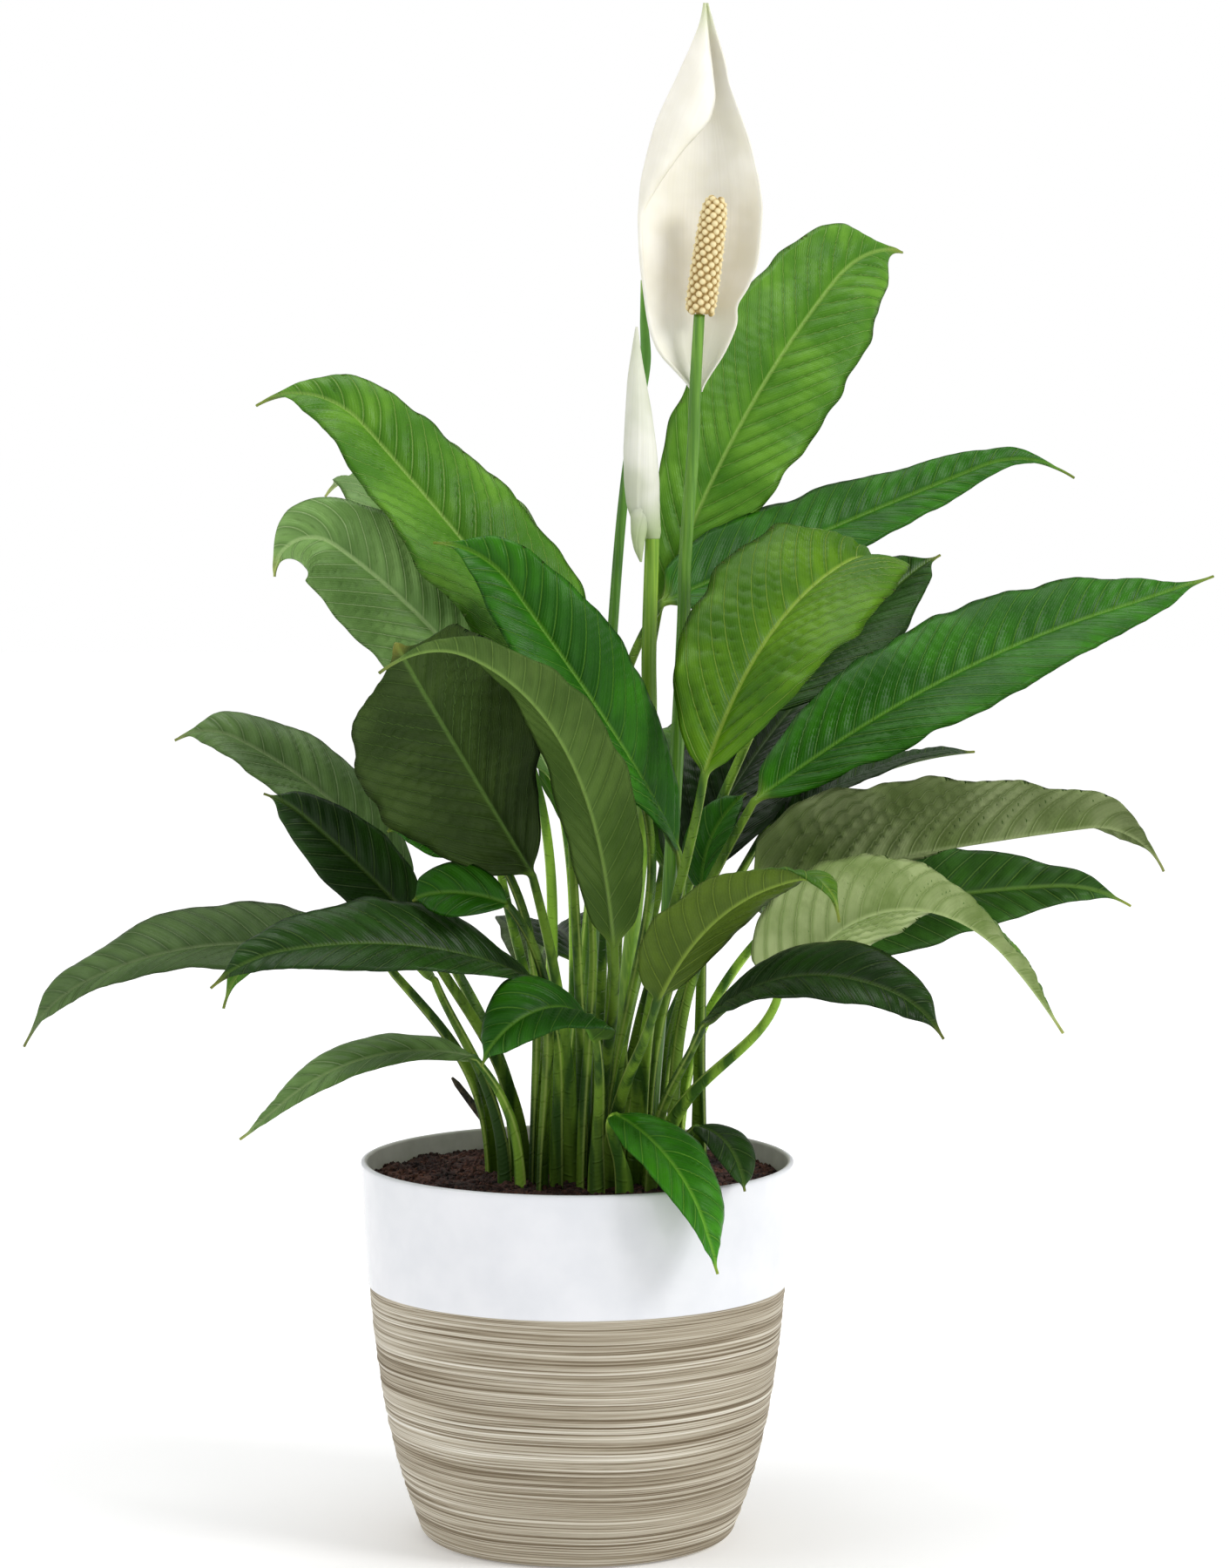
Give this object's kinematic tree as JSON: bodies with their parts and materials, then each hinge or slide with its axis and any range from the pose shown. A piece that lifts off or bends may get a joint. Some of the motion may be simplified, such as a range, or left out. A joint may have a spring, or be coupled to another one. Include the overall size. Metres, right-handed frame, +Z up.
{
  "type": "potted peace lily",
  "caption": "Potted peace lily with arching glossy leaves, an open white spathe, closed buds, and a round planter with a white band over a ribbed body.",
  "frame": {"origin": "centre of the planter's flat underside, on the surface that it stands on", "axes": "+Z up the plant, +X to the right and -Y towards a viewer who looks at the open flower"},
  "size_m": [0.4864, 0.3784, 0.6151],
  "materials": {
    "planter": "gloss",
    "potting_mix": "matte",
    "root_crown": "matte",
    "leaf_fresh": "satin",
    "leaf_bright": "satin",
    "leaf_olive": "satin",
    "leaf_grey": "satin",
    "leaf_pale": "matte",
    "leaf_deep": "satin",
    "flower_stem": "satin",
    "spathe": "satin",
    "spadix": "matte",
    "dry_stalk": "matte"
  },
  "bodies": {
    "root": {"planter": "planter", "potting_mix": "potting_mix", "root_crown": "root_crown", "leaf_upper_left": "leaf_fresh", "leaf_back_strip": "leaf_grey", "leaf_pale_tipped": "leaf_bright", "leaf_grey_left": "leaf_grey", "leaf_left_back_lobe": "leaf_grey", "leaf_big_underside": "leaf_deep", "leaf_long_arching": "leaf_fresh", "leaf_dark_behind_arch": "leaf_deep", "leaf_mid_left": "leaf_grey", "leaf_dark_left": "leaf_deep", "leaf_lowest_left": "leaf_grey", "leaf_left_front": "leaf_deep", "leaf_left_strip": "leaf_fresh", "leaf_lowest_left_small": "leaf_grey", "leaf_front_glossy": "leaf_bright", "leaf_left_lobe": "leaf_bright", "leaf_left_lobe_low": "leaf_bright", "leaf_tall_right": "leaf_fresh", "leaf_twisted_right": "leaf_bright", "leaf_front_olive": "leaf_olive", "leaf_behind_olive": "leaf_deep", "leaf_right_long": "leaf_bright", "leaf_right_underside": "leaf_pale", "leaf_right_pale_low": "leaf_pale", "leaf_right_dark_wide": "leaf_deep", "leaf_right_low_dark": "leaf_deep", "leaf_right_curled_tip": "leaf_olive", "leaf_deep_back_right": "leaf_deep", "leaf_thin_back_right": "leaf_deep", "leaf_hanging_front": "leaf_bright", "leaf_small_hanging_right": "leaf_deep", "leaf_young_right": "leaf_bright", "leaf_young_left": "leaf_bright", "leaf_back_centre": "leaf_fresh", "leaf_back_left": "leaf_deep", "leaf_back_right": "leaf_fresh", "leaf_back_low": "leaf_deep", "leaf_back_low_right": "leaf_deep", "flower_stem_open": "flower_stem", "flower_stem_closed": "flower_stem", "flower_stem_green": "flower_stem", "spathe_open": "spathe", "spadix": "spadix", "spathe_closed": "spathe", "bud_green": "flower_stem", "dry_stalk": "dry_stalk"}
  },
  "joints": []
}
